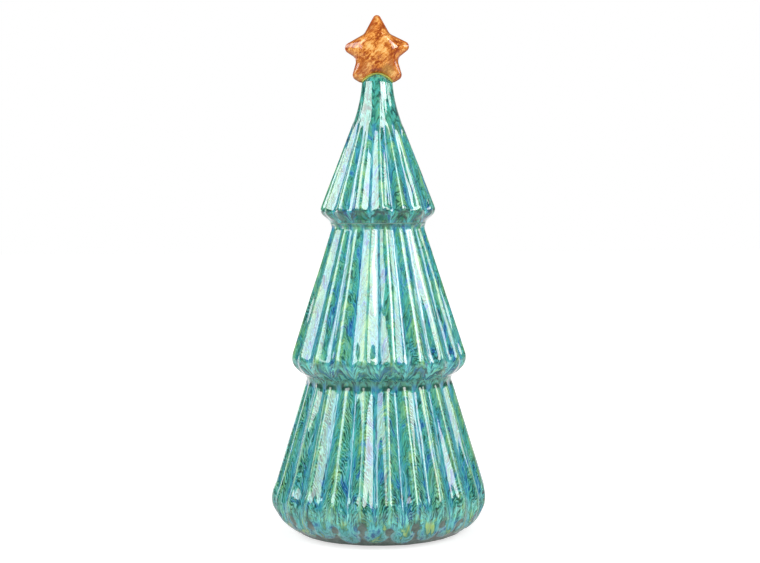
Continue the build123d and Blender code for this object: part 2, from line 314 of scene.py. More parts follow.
def fluted_tier(name, tier, outline, inside, crispness, fine_to, drips=False):
    """A fluted hollow casting. Its outline runs up the outside, and its inside from there back down."""
    outline = softened(outline, 0.6)
    along = run_length(outline)
    neck_at = along[np.argmin(np.abs(outline[:, 1] - tier.neck))]
    neck_from = neck_at - tier.run_out - 2
    stations = np.concatenate([
        np.arange(0, fine_to, FINE_STEP),
        np.arange(fine_to, neck_from, CONE_STEP),
        np.arange(neck_from, along[-1], NECK_STEP),
        [along[-1]],
    ])
    outside = spaced(outline, stations)
    away = outward(outside)
    rows, columns = len(outside), tier.flutes * COLUMNS

    column = np.arange(columns)
    pitch = 2 * math.pi / tier.flutes
    phase = (column % COLUMNS) / COLUMNS * 2 - 1
    angle = math.radians(tier.first_ridge) - pitch / 2 + column * pitch / COLUMNS
    turned = angle + np.radians(hand_wobble(angle, 0 * angle, RIB_SWAY, tier.seed))

    # Distances from the rim, so that the rim's widest point is at 0 and the underside is below it
    widest = stations[np.argmax(outside[:, 0])]
    rise = stations - widest
    under = 1 - ease(rise, -0.30 * tier.rim_round - 1.5, 0.15 * tier.rim_round)
    lowest = ease(stations, 0, max(widest, 1))
    fade = ease(tier.neck + tier.run_up - outside[:, 1], 0, tier.run_out)
    rim_fade = ease(rise, -1.05 * tier.rim_round, tier.rim_hold * tier.rim_round)
    deep = tier.depth(outside[:, 1])
    deep = (tier.under_depth * lowest + (deep - tier.under_depth * lowest) * rim_fade) * fade

    # The flutes are rounder towards the rim and the neck
    along_grid, angle_grid = np.meshgrid(stations, angle, indexing="ij")
    rounder = 0.45 * (1 - ease(rise, 0.2 * tier.rim_round, 0.2 * tier.rim_round + 13))
    rounder = rounder + 0.30 * (1 - ease(tier.neck - outside[:, 1], -3, 9))
    wave = flute_wave(phase[None, :], np.maximum(crispness - rounder, 0.3)[:, None])
    uneven = 1 + hand_wobble(angle_grid, along_grid, DEPTH_SWAY, tier.seed + 1)
    wobble = hand_wobble(angle_grid, along_grid, SKIN_SWAY, tier.seed + 2)
    calm = ease(stations, 0, 6) * ease(stations[-1] - stations, 0, 4)
    shift = -deep[:, None] * (1 - wave) * uneven + wobble * calm[:, None]
    if drips:
        fuller = 0.6 * (1 - np.sin(angle_grid)) * ease(along_grid, 15, 27) * (1 - ease(along_grid, 32, 48))
        inside_glaze = drip_edge(tier, angle_grid, along_grid)
        shift = shift + fuller + glaze_roll(inside_glaze, along_grid)
    radius = outside[:, 0][:, None] + away[:, 0][:, None] * shift
    height = outside[:, 1][:, None] + away[:, 1][:, None] * shift

    inner = np.array(inside, float)
    radius = np.concatenate([radius, np.repeat(inner[:, :1], columns, axis=1)])
    height = np.concatenate([height, np.repeat(inner[:, 1:], columns, axis=1)])
    points = np.stack([radius * np.sin(turned)[None, :], -radius * np.cos(turned)[None, :], height], axis=2)
    faces = ring_faces(rows + len(inner), columns)
    piece = surface(name, points.reshape(-1, 3), faces.tolist())

    # What the glaze follows: its place on the flute, in the groove, under the rim and on the plain neck
    every_rise = np.concatenate([rise, np.zeros(len(inner))])
    store_flute(piece, tier, faces, every_rise, np.concatenate([outside[:, 0], inner[:, 0]]))
    lie = np.broadcast_arrays(np.abs(phase)[None, :], under[:, None], (1 - fade)[:, None])
    lie = np.stack(lie, axis=2).reshape(-1, 3)
    store(piece, "lie", np.concatenate([lie, np.zeros((len(inner) * columns, 3))]))
    if drips:
        glazed = np.full(len(inner) * columns, 9.0)
        store(piece, "inside_glaze", np.concatenate([inside_glaze.ravel(), glazed]))
    return piece


def under_corners(tier):
    """Corners of a tier's underside: its lower edge and its rim."""
    return [(tier.lower_radius, tier.lower_edge), (tier.rim_radius, tier.rim)]


def socket_corners(tier):
    """Corners of the socket in a tier's lower mouth."""
    socket = tier.lower_radius - JOINT_WALL
    return [(socket, tier.lower_edge + SOCKET_HEIGHT), (socket, tier.lower_edge)]


def pooled_cove(tier, upper, reach):
    """Outline points that carry a tier's glaze over the seam onto the tier above, and back under it."""
    lean = math.atan2(upper.undercut, upper.rim_radius - upper.lower_radius)
    up = np.array([math.cos(lean), math.sin(lean)])
    off = np.array([math.sin(lean), -math.cos(lean)])
    seam = np.array([upper.lower_radius, upper.lower_edge])
    over = [seam + 0.06 * off, seam + reach * up + 0.12 * off]
    back = [seam + reach * up + 0.03 * off, seam + 0.03 * off, (upper.lower_radius + 0.02, tier.shoulder)]
    return over, back


def joint_inside(tier, upper):
    """Corners of the shoulder and spigot that go up into the next tier, and of the bore."""
    spigot = upper.lower_radius - JOINT_WALL - SLIP
    return [
        (spigot, tier.shoulder),
        (spigot, tier.shoulder + SPIGOT_HEIGHT),
        (spigot - SPIGOT_WALL, tier.shoulder + SPIGOT_HEIGHT),
        (spigot - SPIGOT_WALL, tier.neck),
    ]


def build_bottom_tier():
    over, back = pooled_cove(bottom, middle, 3.2)
    corners = [(REBATE_RADIUS + 1, bottom.lower_edge)] + under_corners(bottom) + over
    outline = rounded(corners, [FOOT_ROUND, bottom.rim_round, 4.4])
    inside = back + joint_inside(bottom, middle) + [
        BOTTOM_HOLLOW,
        (BASE_LEDGE_RADIUS, BASE_UPPER),
        (REBATE_RADIUS, BASE_UPPER),
        (REBATE_RADIUS, bottom.lower_edge),
    ]
    return fluted_tier("bottom_tier_glazed", bottom, outline, inside, 0.74, 44, drips=True)


def build_middle_tier():
    edge, rim = under_corners(middle)
    corners = [edge, MIDDLE_BELLY, rim, MIDDLE_CONE_END, (SEAM_RADIUS, middle.shoulder)]
    outline = rounded(corners, [5.0, middle.rim_round, 5.0])
    inside = joint_inside(middle, top) + [MIDDLE_HOLLOW] + socket_corners(middle)
    return fluted_tier("middle_tier_glazed", middle, outline, inside, 0.87, 24)


def build_top_tier():
    """The top tier sweeps up in one arc from its cone to the tip, which a domed cap closes."""
    corners = [(SEAM_RADIUS, top.lower_edge), TOP_LIP, under_corners(top)[1], (NECK_RADIUS, top.neck)]
    cone = rounded(corners, [3.0, top.rim_round])
    neck = cone[-1]
    slope = math.atan2(top.cone, NECK_RADIUS - top.rim_radius)
    chord = np.array([TIP_RADIUS, TIP]) - np.array(neck)
    turn = 2 * (math.atan2(chord[1], chord[0]) - slope)
    bend = np.linalg.norm(chord) / (2 * math.sin(turn / 2))
    headings = slope + turn * np.linspace(0, 1, 60)[1:]
    sweep = np.stack([
        neck[0] + bend * (np.sin(headings) - math.sin(slope)),
        neck[1] - bend * (np.cos(headings) - math.cos(slope)),
    ], axis=1)
    cap_radii = np.linspace(TIP_RADIUS, PEG_HOLE_RADIUS, 30)[1:]
    cap = np.stack([cap_radii, TIP_TOP - CAP_SPHERE + np.sqrt(CAP_SPHERE**2 - cap_radii**2)], axis=1)
    outline = np.concatenate([cone, sweep, cap])
    inside = [(PEG_HOLE_RADIUS, PEG_HOLE_END), TOP_HOLLOW_END, TOP_HOLLOW] + socket_corners(top)
    return fluted_tier("top_tier_glazed", top, outline, inside, 0.68, 18)


def star_outline():
    """The closed edge of the star around its middle: five rounded points, the left one a little lower."""
    half = [(23.0, 0), (11.9, 41), (22.5, 85.5), (13.9, 117), (23.6, 138.5), (23.4, 155.5), (16.0, 180)]
    right = [(r * math.sin(math.radians(a)), r * math.cos(math.radians(a))) for r, a in half]
    left = [(-x, z) for x, z in reversed(right[1:-1])]
    left[3] = (-22.6, 0.6)
    round_half = [2.5, 5.5, 3.3, 4.5, 3.3, 3.3, 4.5]
    corners = right + left
    path = rounded([corners[-1]] + corners + [corners[0]], round_half + round_half[-2:0:-1], 0.05)[1:-1]
    return np.concatenate([path, path[:1]])


def soft_inset(flat, path, samples=1600, batch=2000):
    """How far inside the edge each point lies, as one smooth distance to all of the edge."""
    # A long straight edge adds up to this, over the cube of the distance to it
    straight_edge = 1.571
    length = run_length(path)[-1]
    edge = spaced(path, np.arange(samples) * length / samples)
    inset = np.zeros(len(flat))
    for start in range(0, len(flat), batch):
        part = flat[start:start + batch]
        apart = ((part[:, None, :] - edge[None, :, :]) ** 2).sum(2) + 1e-9
        inset[start:start + batch] = ((1 / apart**2).sum(1) * length / samples / straight_edge) ** (-1 / 3)
    return inset


def fit_to_cap(points):
    """Lays what would reach into the cap onto it. Returns how far each point was above the cap."""
    centre = np.array([0, 0, TIP_TOP - CAP_SPHERE])
    from_centre = points - centre
    apart = np.linalg.norm(from_centre, axis=1)
    beside = np.hypot(points[:, 0], points[:, 1])
    below = points[:, 2] < TIP
    gap = np.where(below, beside - TIP_RADIUS, apart - CAP_SPHERE) - STAR_BED
    onto = (gap < 0) & ~below
    points[onto] = centre + from_centre[onto] / apart[onto][:, None] * (CAP_SPHERE + STAR_BED)
    around = (gap < 0) & below
    points[around, :2] *= ((TIP_RADIUS + STAR_BED) / np.maximum(beside[around], 0.5))[:, None]
    return gap


def build_star():
    """A puffy five-pointed star whose two lower points stand astride the cap of the top tier."""
    count, rings = 420, 44
    half_thickness, edge_roll = 6.5, 4.6
    path = star_outline()
    edge = spaced(path, np.arange(count) * run_length(path)[-1] / count)
    share = 1 - (1 - np.linspace(0, 1, rings + 1)[1:]) ** 1.8
    flat = edge[None, :, :] * share[:, None, None]
    flat = np.concatenate([np.zeros((1, 2)), flat.reshape(-1, 2)])
    inward = soft_inset(flat, path)
    inward[-count:] = 0

    # Thick and domed in the middle, and thinner towards the tips of the upper arms
    puff = half_thickness * np.sqrt(1 - (1 - np.clip(inward / edge_roll, 0, 1)) ** 2)
    hollows = 1 + 0.03 * np.sin(flat[:, 0] * 0.55 + 1.0) * np.cos(flat[:, 1] * 0.47 + 0.4)
    from_middle = np.hypot(flat[:, 0], flat[:, 1])
    upper_arm = ease(flat[:, 1], -8, -2)
    dome = 1 - 0.62 * (from_middle / 23.0) ** 2
    dome = dome + (1 - 0.85 * ease(from_middle, 7, 21) - dome) * upper_arm
    puff = puff * hollows * dome

    front = np.stack([flat[:, 0], -puff, STAR_MIDDLE + flat[:, 1]], axis=1)
    back = np.stack([flat[:-count, 0], puff[:-count], STAR_MIDDLE + flat[:-count, 1]], axis=1)
    points = np.concatenate([front, back])
    gap = fit_to_cap(points)

    # Rings of faces around the middle of each side, which share the last ring
    front_rings = 1 + np.arange(rings * count).reshape(rings, count)
    back_rings = front_rings + len(front)
    back_rings[-1] = front_rings[-1]
    faces = []
    for hub, ring, turn in ((0, front_rings, -1), (len(front), back_rings, 1)):
        ahead = np.roll(ring, -1, axis=1)
        around_hub = [np.full(count, hub), *(ring[0], ahead[0])[::turn]]
        faces += np.stack(around_hub, axis=1).tolist()
        quads = np.stack([ring[:-1], ring[1:], ahead[1:], ahead[:-1]], axis=2).reshape(-1, 4)
        faces += quads[:, ::turn].tolist()
    piece = surface("star_glazed", points, faces, 70)
    store(piece, "inward", np.concatenate([inward, inward[:-count]]))
    store(piece, "above_cap", np.clip(gap, 0, 20))
    return piece


def build_felt():
    """A felt disc under the base, cut by hand, with a soft edge."""
    columns, hub_radius, edge_from = 240, 0.6, 38
    angle = np.arange(columns) * 2 * math.pi / columns
    corners = [(hub_radius, 0), (FELT_RADIUS, 0), (FELT_RADIUS, FELT_THICKNESS), (hub_radius, FELT_THICKNESS)]
    half_path = rounded(corners, [0.7, 0.5], 0.2)
    end = run_length(half_path)[-1]
    stations = np.concatenate([
        np.arange(0, edge_from, 1.0),
        np.arange(edge_from, end - edge_from, 0.35),
        np.arange(end - edge_from, end, 2.0),
        [end],
    ])
    path = spaced(half_path, stations)
    away = outward(path)
    nap = 0.05 * np.random.default_rng(77).standard_normal((len(path), columns))
    cut = hand_wobble(angle, 0 * angle, FELT_SWAY, 21)
    edge = ease(path[:, 0], 30, 40)[:, None]
    low = (path[:, 1] < 0.3)[:, None]
    shift = nap - 0.06
    reach = path[:, 0][:, None] + away[:, 0][:, None] * shift + (cut - 0.25)[None, :] * edge
    height = np.where(low, np.abs(nap), path[:, 1][:, None] + away[:, 1][:, None] * shift)
    height = np.clip(height, 0, FELT_THICKNESS)
    points = np.stack([reach * np.sin(angle), -reach * np.cos(angle), height], axis=2).reshape(-1, 3)
    last = (len(path) - 1) * columns
    faces = ring_faces(len(path), columns)[:last].tolist()
    faces.append(list(range(columns))[::-1])
    faces.append(list(range(last, last + columns)))
    return surface("felt_disc", points, faces, 60)


# Nodes of the materials

class Measure:
    """A number that changes over a surface. Arithmetic with it adds nodes to the material's tree."""

    def __init__(self, tree, socket):
        self.tree, self.socket = tree, socket

    def __add__(self, other):
        return maths(self.tree, "ADD", self, other)

    def __radd__(self, other):
        return maths(self.tree, "ADD", other, self)

    def __sub__(self, other):
        return maths(self.tree, "SUBTRACT", self, other)

    def __rsub__(self, other):
        return maths(self.tree, "SUBTRACT", other, self)

    def __mul__(self, other):
        return maths(self.tree, "MULTIPLY", self, other)

    def __pow__(self, power):
        return maths(self.tree, "POWER", self, power)

    def __abs__(self):
        return maths(self.tree, "ABSOLUTE", self)

    def rise(self, low, high):
        """A smooth step from 0 at low to 1 at high."""
        inputs = {"Value": self, "From Min": low, "From Max": high, "To Min": 0.0, "To Max": 1.0}
        made = add_node(self.tree, "ShaderNodeMapRange", inputs, interpolation_type="SMOOTHSTEP")
        return Measure(self.tree, made.outputs[0])

    def fall(self, low, high):
        """A smooth step from 1 at low to 0 at high."""
        return 1.0 - self.rise(low, high)


class Coat:
    """A colour that is built up in layers."""

    def __init__(self, tree, colour):
        self.tree, self.colour = tree, colour

    def lay(self, share, colour):
        self.colour = mixed(self.tree, share, self.colour, colour)


def fill(tree, node, inputs):
    """Sets each input of a node to a value, or joins it to a socket."""
    for key, value in inputs.items():
        value = value.socket if isinstance(value, Measure) else value
        if isinstance(value, bpy.types.NodeSocket):
            tree.links.new(value, node.inputs[key])
        else:
            node.inputs[key].default_value = value


def add_node(tree, kind, inputs=None, **settings):
    """A node with its settings and its inputs."""
    made = tree.nodes.new(kind)
    for key, value in settings.items():
        setattr(made, key, value)
    fill(tree, made, inputs or {})
    return made


def maths(tree, operation, first, second=0.0):
    made = add_node(tree, "ShaderNodeMath", {0: first, 1: second}, operation=operation)
    return Measure(tree, made.outputs[0])


def triple(tree, x, y, z):
    return add_node(tree, "ShaderNodeCombineXYZ", {0: x, 1: y, 2: z}).outputs[0]


def parts(tree, vector):
    """The three numbers of a vector."""
    made = add_node(tree, "ShaderNodeSeparateXYZ", {0: vector})
    return [Measure(tree, socket) for socket in made.outputs]


def object_place(tree):
    return add_node(tree, "ShaderNodeTexCoord").outputs["Object"]


def from_mesh(tree, name, kind="Fac"):
    """A number that the mesh keeps, or with the kind Vector a triple."""
    return Measure(tree, add_node(tree, "ShaderNodeAttribute", attribute_name=name).outputs[kind])


def cloud(tree, vector, scale=1.0, detail=2.0, roughness=0.5, distortion=0.0):
    """A soft noise between about 0.25 and 0.75."""
    inputs = {
        "Vector": vector,
        "Scale": scale,
        "Detail": detail,
        "Roughness": roughness,
        "Distortion": distortion,
    }
    return Measure(tree, add_node(tree, "ShaderNodeTexNoise", inputs).outputs[0])


def mixed(tree, share, first, second, kind="MIX"):
    """The first colour where share is 0 and the second where it is 1."""
    first, second = ((*c, 1.0) if isinstance(c, tuple) else c for c in (first, second))
    made = add_node(tree, "ShaderNodeMix", {0: share, 6: first, 7: second}, data_type="RGBA", blend_type=kind)
    return made.outputs[2]


def colours_along(tree, value, steps):
    """A colour that follows a value through its steps."""
    made = add_node(tree, "ShaderNodeValToRGB", {0: value})
    ramp = made.color_ramp
    while len(ramp.elements) < len(steps):
        ramp.elements.new(0.5)
    for element, (place, colour) in zip(ramp.elements, steps):
        element.position = place
        element.color = (*colour, 1.0)
    return made.outputs[0]


def new_group(name, inputs, outputs):
    """An empty shader group with named sockets: its tree, its inputs and its output node."""
    tree = bpy.data.node_groups.new(name, "ShaderNodeTree")
    for label, kind, value in inputs:
        socket = tree.interface.new_socket(label, in_out="INPUT", socket_type=kind)
        socket.default_value = value
    for label, kind in outputs:
        tree.interface.new_socket(label, in_out="OUTPUT", socket_type=kind)
    entry = tree.nodes.new("NodeGroupInput")
    given = [Measure(tree, entry.outputs[label]) for label, kind, value in inputs]
    return tree, given, tree.nodes.new("NodeGroupOutput")


def new_material(name):
    made = bpy.data.materials.new(name)
    made.use_nodes = True
    tree = made.node_tree
    shader = next(n for n in tree.nodes if n.type == "BSDF_PRINCIPLED")
    return made, tree, shader


def bumped(tree, shader, height, distance, strength):
    bump = add_node(tree, "ShaderNodeBump", {"Height": height, "Distance": distance, "Strength": strength})
    fill(tree, shader, {"Normal": bump.outputs[0]})


NUMBER, TRIPLE, COLOUR = "NodeSocketFloat", "NodeSocketVector", "NodeSocketColor"

DEEP_BLUE = (0.010, 0.100, 0.33)
RIVER_BLUE = (0.028, 0.20, 0.42)
LILAC = (0.36, 0.50, 0.72)
TURQUOISE = (0.060, 0.44, 0.45)
AQUA = (0.082, 0.53, 0.48)
PALE_TURQUOISE = (0.26, 0.67, 0.63)
BRIGHT_AQUA = (0.23, 0.88, 0.78)
TEAL = (0.022, 0.18, 0.145)
SEA_GREEN = (0.066, 0.345, 0.195)
LEAF = (0.13, 0.40, 0.15)
LIME = (0.25, 0.50, 0.16)
PALE_LIME = (0.47, 0.65, 0.20)
DARK_GREEN = (0.004, 0.040, 0.030)
DARK_TEAL = (0.004, 0.052, 0.042)
RUST = (0.30, 0.085, 0.02)
BARE_GREY = (0.145, 0.21, 0.18)


def reactive_glaze_group():
    """Colours of a reactive glaze that runs down a flute: arcs and barbs on ribs, streaks in grooves, with
    painted highlights on the crests and grooves and painted shade under the rim.
    """
    tree, given, out = new_group(
        "reactive glaze",
        [
            ("Flute", TRIPLE, (0, 0, 0)),
            ("Lie", TRIPLE, (0, 0, 0)),
            ("Feather", NUMBER, 1.0),
            ("Bloom", NUMBER, 0.0),
            ("Batch", NUMBER, 0.0),
            ("Shade", NUMBER, 0.6),
            ("Runs", NUMBER, 0.4),
        ],
        [("Colour", COLOUR), ("Thickness", NUMBER)],
    )
    flute, lie, feather, bloom, batch, shade, runs = given
    across, along, rib = parts(tree, flute)
    groove, under, plain = parts(tree, lie)
    rib = rib + batch
    side = abs(across)

    def noise(x, y, z, detail=2, roughness=0.5, distortion=0.0):
        return cloud(tree, triple(tree, x, y, z), 1, detail, roughness, distortion)

    # A slow wander bends everything that runs down the flute
    wander = noise(across * 0.20, along * 0.075, rib * 31.0) - 0.5
    slant = side * 0.80 + side**2.0 * 0.10
    fall = along + slant + wander * 15.0

    # Bands of colour in arches over the ribs, greener on the ridges and bluer towards the grooves
    zone = noise(fall * 0.10, rib * 53.0, across * 0.12, 4, 0.56, 0.7)
    zone = zone + bloom * 0.03 + (0.58 - groove) * 0.12
    coat = Coat(tree, colours_along(tree, zone.rise(0.34, 0.66), [
        (0.00, DEEP_BLUE),
        (0.09, RIVER_BLUE),
        (0.20, TURQUOISE),
        (0.32, TEAL),
        (0.44, SEA_GREEN),
        (0.54, AQUA),
        (0.64, TEAL),
        (0.75, SEA_GREEN),
        (0.86, LEAF),
        (0.93, SEA_GREEN),
        (1.00, LIME),
    ]))
    coat.lay(zone.rise(0.55, 0.64) * groove.rise(0.14, 0.34) * 0.42, TURQUOISE)

    # Lime tongues on the ribs, each in a ring of blue
    tongue = noise(side * 0.16, fall * 0.065, rib * 83.0, 2, 0.5, 0.6)
    ringed = tongue.rise(0.485, 0.52) * tongue.fall(0.535, 0.57) * groove.fall(0.50, 0.90)
    coat.lay(ringed * 0.32, RIVER_BLUE)
    tongue = tongue.rise(0.545, 0.62) * groove.fall(0.20, 0.46) * (0.35 + feather * 0.45)
    coat.lay(tongue, mixed(tree, groove, LIME, LEAF))

    # Fine barbs and pale lines that run down and away from each ridge. They fade on the upper left flank as a
    # painted reflection, where a light's reflection lies and washes them out.
    shiver = noise(across * 0.26, along * 0.12, rib * 17.0)
    comb = maths(tree, "SINE", fall * 2.6 + shiver * 4.5)
    broken = noise(across * 0.62, fall * 0.55, rib * 71.0, 2, 0.6)
    # Painted reflection: where the barbs are washed out on the upper left flank
    upper_flank = across.fall(-1.6, -0.2) * along.rise(2.0, 30.0)
    combed = (1.0 - under * shade) * (1.0 - upper_flank * 0.65)
    pale_lines = comb.rise(0.30, 1.0) * broken.rise(0.40, 0.60)
    coat.lay(pale_lines * ((0.12 + feather * 0.50) * combed), PALE_TURQUOISE)
    patchy = noise(across * 0.07, along * 0.045, rib * 91.0)
    patchy = patchy + (feather - 1.0) * 0.20 + along.fall(12.0, 50.0) * 0.08
    strokes = comb.fall(-0.60, 0.20) * broken.fall(0.48, 0.60) * groove.fall(0.50, 0.86)
    strokes = strokes * patchy.rise(0.38, 0.54) * groove.rise(0.03, 0.16) * combed
    coat.lay(strokes * 0.92, DARK_GREEN)

    # Blue streaks run down the grooves, with a painted lilac highlight in broken lengths along the middle of
    # each
    streak = noise(across * 0.85 + wander * 4.0, along * 0.034, rib * 23.0, 4, 0.6)
    run = colours_along(tree, streak.rise(0.32, 0.68), [
        (0.04, DEEP_BLUE),
        (0.18, RIVER_BLUE),
        (0.34, TURQUOISE),
        (0.48, AQUA),
        (0.58, TEAL),
        (0.66, DEEP_BLUE),
        (0.75, TURQUOISE),
        (0.90, (0.14, 0.46, 0.56)),
        (1.00, (0.32, 0.60, 0.66)),
    ])
    in_groove = groove + (streak - 0.5) * 0.9
    coat.lay(in_groove.rise(0.62, 0.90) * 0.92, run)
    # Painted highlight: the reflection in the hollow of the groove, in pale lilac
    coat.lay(groove.rise(0.94, 1.0) * wander.rise(-0.02, 0.10) * 0.5, LILAC)
    coat.lay(streak.rise(0.56, 0.70) * 0.34, PALE_TURQUOISE)
    coat.lay(streak.fall(0.30, 0.43) * 0.40, DARK_GREEN)

    # Mottling, stronger near the rim of a feathered tier
    mottle = noise(across * 0.34, fall * 0.26, rib * 37.0, 3, 0.62, 1.2)
    at_rim = along.fall(2.0, 18.0) * feather
    mottle = 0.5 + (mottle - 0.5) * (1.0 + at_rim * 0.45)
    coat.lay(mottle.fall(0.33, 0.48) * 0.78, DARK_GREEN)
    coat.lay(mottle.rise(0.60, 0.72) * (0.45 + at_rim * 0.35), PALE_TURQUOISE)

    # The glaze breaks paler and yellower, with a few rust specks, where it thins over a ridge. The pale
    # turquoise line on the crest itself is a painted highlight.
    thin = noise(across * 0.30, along * 0.25, rib * 41.0)
    coat.lay(groove.fall(0.08, 0.42) * thin.rise(0.57, 0.74) * 0.40, PALE_LIME)
    # Painted highlight along each crest, in pale turquoise
    coat.lay(groove.fall(0.02, 0.14) * 0.35, PALE_TURQUOISE)
    speck = noise(across * 1.5, along * 0.9, rib * 13.0, 2, 0.7)
    coat.lay(speck.rise(0.70, 0.76) * 0.45, RUST)

    # It pools dark and green around the plain necks
    swirl = noise(across * 0.22, fall * 0.30, rib * 61.0, 3, 0.6, 0.8)
    pooled = colours_along(tree, swirl.rise(0.32, 0.68), [
        (0.00, DARK_GREEN),
        (0.32, TEAL),
        (0.55, SEA_GREEN),
        (0.76, TURQUOISE),
        (1.00, LEAF),
    ])
    coat.lay(plain * 0.85, pooled)

    # Each rib ends in a dark arch where it meets the neck
    end = plain.rise(0.02, 0.22) * plain.fall(0.55, 1.0)
    arch = end * (groove + wander * 1.2).fall(0.35, 0.80)
    coat.lay(arch * (0.12 + feather * 0.73), DARK_GREEN)
    between = end * (groove + wander * 0.8).rise(0.60, 0.90)
    coat.lay(between * 0.55, RIVER_BLUE)

    # Painted shade below the rim: the colour is multiplied darker over the ribs and lighter and bluer between
    # them, with a dark line at the brim
    # Painted shade and light under the rim, as strong as the tier's Shade
    shadow = mixed(tree, groove, (0.15, 0.45, 0.39), (1.05, 1.50, 1.34))
    coat.lay(under * shade, mixed(tree, 1.0, coat.colour, shadow, "MULTIPLY"))
    brim = along + groove**2.0 * -2.4 + wander * 4.0
    brim = brim.rise(-3.4, -2.2) * brim.fall(-1.6, -0.2) * groove.fall(0.55, 0.95)
    coat.lay(brim * (shade * 0.75), DARK_GREEN)

    # Pale and blue runs, dark swirls and lime ones on the underside. The bright pale runs are partly glaze
    # and partly a painted highlight.
    broad = noise(across * 0.16, fall * 0.24, rib * 29.0, 3, 0.55, 1.0)
    marks = streak + (broad - streak) * shade.rise(0.2, 0.6)
    # Bright aqua runs: partly glaze streaks, partly a painted highlight on the underside
    coat.lay(under * marks.rise(0.47, 0.58) * runs, BRIGHT_AQUA)
    coat.lay(under * marks.fall(0.39, 0.475) * (shade * runs * 1.6), RIVER_BLUE)
    coat.lay(under * swirl.fall(0.37, 0.48) * 0.85, DARK_TEAL)
    coat.lay(under * runs * swirl.rise(0.57, 0.65) * 0.8, LIME)
    fill(tree, out, {"Colour": coat.colour, "Thickness": streak * 0.6 + broken * 0.4})
    return tree


def orange_peel_group():
    """Fine unevenness of a fired glaze."""
    tree, given, out = new_group("orange peel", [("Fineness", NUMBER, 300.0)], [("Height", NUMBER)])
    fineness = given[0]
    place = object_place(tree)
    fine = cloud(tree, place, fineness, 2, 0.5)
    broad = cloud(tree, place, fineness * 0.35, 1, 0.5)
    fill(tree, out, {"Height": fine * 0.35 + broad * 0.65})
    return tree


def peel_height(tree, fineness):
    peel = add_node(tree, "ShaderNodeGroup", {"Fineness": fineness}, node_tree=orange_peel)
    return Measure(tree, peel.outputs["Height"])


def glossy_coat(tree, shader, roughness, gloss):
    """A clear glassy layer over the colour."""
    fill(tree, shader, {
        "IOR": 1.5,
        "Specular IOR Level": 0.1,
        "Coat Weight": 1.0,
        "Coat Roughness": roughness,
        "Coat IOR": gloss,
    })


def foot_drips(tree, glaze_colour):
    """The glaze that pools in lobes at the foot: its colour, and where the clay below it is bare."""
    edge = from_mesh(tree, "inside_glaze")
    along = parts(tree, from_mesh(tree, "flute", "Vector"))[1]
    place = object_place(tree)
    smear = cloud(tree, place, 90.0, 3, 0.5, 1.0)
    ragged = edge + (cloud(tree, place, 260.0, 3, 0.6, 0.5) - 0.5) * 3.0
    x, y, z = parts(tree, place)
    drawn_down = cloud(tree, triple(tree, x, y, z * 0.35), 190.0, 3, 0.55, 0.9)
    pooled = colours_along(tree, (drawn_down - 0.5) * 1.35 + edge * 0.03 + 0.42, [
        (0.26, DEEP_BLUE),
        (0.34, (0.035, 0.26, 0.46)),
        (0.43, (0.16, 0.66, 0.66)),
        (0.52, TURQUOISE),
        (0.57, (0.018, 0.17, 0.12)),
        (0.63, LEAF),
        (0.70, (0.46, 0.64, 0.14)),
    ])
    coat = Coat(tree, glaze_colour)
    lowest = (along + smear * 8.0).fall(-6.0, -1.0)
    coat.lay(edge.fall(4.0, 9.0) * lowest * 0.80, pooled)
    smoky = ragged.fall(0.4, 2.6) * along.rise(-9.0, -5.0)
    coat.lay(smoky * 0.65, (0.022, 0.075, 0.055))
    # A pale rim along the edge of each lobe: partly thin glaze, partly a painted highlight on the rolled edge
    lip = ragged.rise(0.05, 0.4) * ragged.fall(0.6, 1.5) * along.fall(-13.0, -9.5)
    coat.lay(lip * 0.6, (0.34, 0.60, 0.62))

    grain = cloud(tree, place, 420.0, 4, 0.65)
    bare = colours_along(tree, grain * 0.5 + smear * 0.5, [
        (0.36, (0.075, 0.115, 0.095)),
        (0.50, BARE_GREY),
        (0.64, (0.24, 0.33, 0.28)),
    ])
    bare = mixed(tree, along.rise(-14.0, -7.0) * 0.6, bare, (0.045, 0.090, 0.070))
    unglazed = ragged.fall(-0.15, 0.20)
    coat.lay(unglazed, bare)
    return coat.colour, unglazed


def tree_glaze(name, gloss, drips=False, **recipe):
    """Thick glossy reactive glaze of one tier. The recipe sets the inputs of the reactive glaze."""
    made, tree, shader = new_material(name)
    inputs = {"Flute": from_mesh(tree, "flute", "Vector"), "Lie": from_mesh(tree, "lie", "Vector"), **recipe}
    glaze = add_node(tree, "ShaderNodeGroup", inputs, node_tree=reactive_glaze)
    peel = peel_height(tree, 260.0)
    colour = glaze.outputs["Colour"]
    rough = peel.rise(-0.6, 6.0)
    if drips:
        colour, unglazed = foot_drips(tree, colour)
        rough = rough + unglazed * 0.30
    fill(tree, shader, {"Base Color": colour, "Roughness": rough})
    glossy_coat(tree, shader, 0.03, gloss)
    bumped(tree, shader, peel * 0.8 + Measure(tree, glaze.outputs["Thickness"]) * 0.12, 0.0006, 0.012)
    return made


def distance_from(tree, place, spot):
    made = add_node(tree, "ShaderNodeVectorMath", {0: place, 1: spot}, operation="DISTANCE")
    return Measure(tree, made.outputs["Value"])


